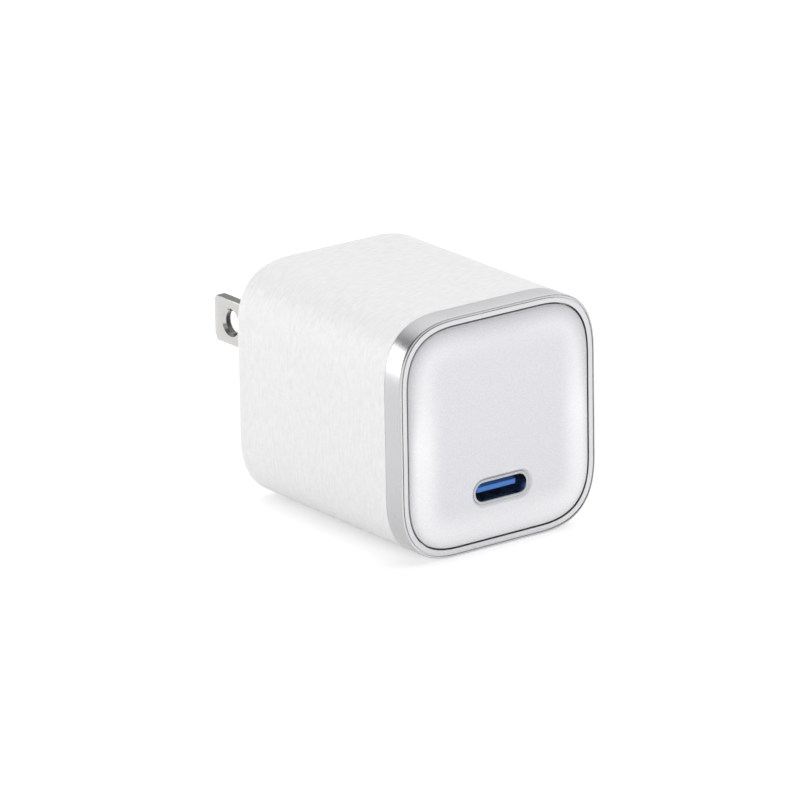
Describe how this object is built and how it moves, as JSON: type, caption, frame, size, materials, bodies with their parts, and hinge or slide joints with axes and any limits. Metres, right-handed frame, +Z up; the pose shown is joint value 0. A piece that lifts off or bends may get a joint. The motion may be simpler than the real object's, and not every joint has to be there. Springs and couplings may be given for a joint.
{
  "type": "usb wall charger",
  "caption": "Compact white wall charger with a silver bezel, a glossy front cover, a USB-C port low on the front and plug blades that fold flat into the rear.",
  "frame": {"origin": "on the surface the charger stands on, under the middle of its overall box with the blades extended", "axes": "+Z up, -Y out of the front cover with the port, +Y along the extended blades, +X to the right seen from the front"},
  "size_m": [0.032, 0.0554, 0.0328],
  "materials": {
    "housing_white": "matt, fine woven texture",
    "cover_pearl": "glossy pearl white",
    "bezel_silver": "satin silver plating",
    "blade_nickel": "bright nickel plating",
    "inner_white": "matt moulded",
    "usb_steel": "drawn, bright",
    "usb_blue": "moulded, dark blue",
    "spring_bronze": "bare bronze strip",
    "spring_steel": "bare spring strip",
    "board_green": "green solder mask",
    "ferrite": "unglazed dark ferrite",
    "bobbin_black": "moulded black",
    "tape_yellow": "copper winding under yellow tape",
    "copper_wire": "enamelled copper",
    "can_sleeve": "shrunk sleeve",
    "can_aluminium": "bare can",
    "film_grey": "moulded grey",
    "ceramic_blue": "dipped blue",
    "ceramic_green": "dipped green",
    "fuse_brown": "moulded brown",
    "chip_black": "moulded black",
    "pad_grey": "soft grey pad",
    "film_amber": "amber film",
    "spreader_metal": "bare sheet",
    "lead_red": "red insulation",
    "lead_black": "black insulation"
  },
  "bodies": {
    "charger": {"housing_sleeve": "housing_white", "bezel_ring": "bezel_silver", "front_cover": "cover_pearl", "rear_cap": "inner_white", "plug_frame": "inner_white", "detent_spring": "spring_steel", "blade_contact_left": "spring_bronze", "blade_contact_right": "spring_bronze", "lead_left": "lead_black", "lead_right": "lead_red", "usb_shell": "usb_steel", "usb_tongue": "usb_blue", "main_board": "board_green", "insulation_wrap": "film_amber", "heat_spreader": "spreader_metal", "bulk_capacitor_front": "can_sleeve", "bulk_capacitor_rear": "can_sleeve", "transformer_core_lower": "ferrite", "transformer_core_upper": "ferrite", "transformer_bobbin": "bobbin_black", "transformer_winding": "tape_yellow", "output_capacitor_front": "can_aluminium", "output_capacitor_rear": "can_aluminium", "y_capacitor": "ceramic_blue", "inrush_thermistor": "ceramic_green", "x_capacitor": "film_grey", "fuse": "fuse_brown", "choke_core": "ferrite", "choke_winding_left": "copper_wire", "choke_winding_right": "copper_wire", "bridge_rectifier": "chip_black", "switch_chip": "chip_black", "rectifier_chip": "chip_black", "control_chip": "chip_black", "thermal_pad": "pad_grey"},
    "plug": {"plug_rotor": "inner_white", "blade_left": "blade_nickel", "blade_right": "blade_nickel"}
  },
  "joints": [
    {"name": "blade_fold", "type": "hinge", "parent": "charger", "child": "plug", "pos_m": [0, 0.0093, 0.02205], "axis": [-1, 0, 0], "range_deg": [0, 90]}
  ]
}
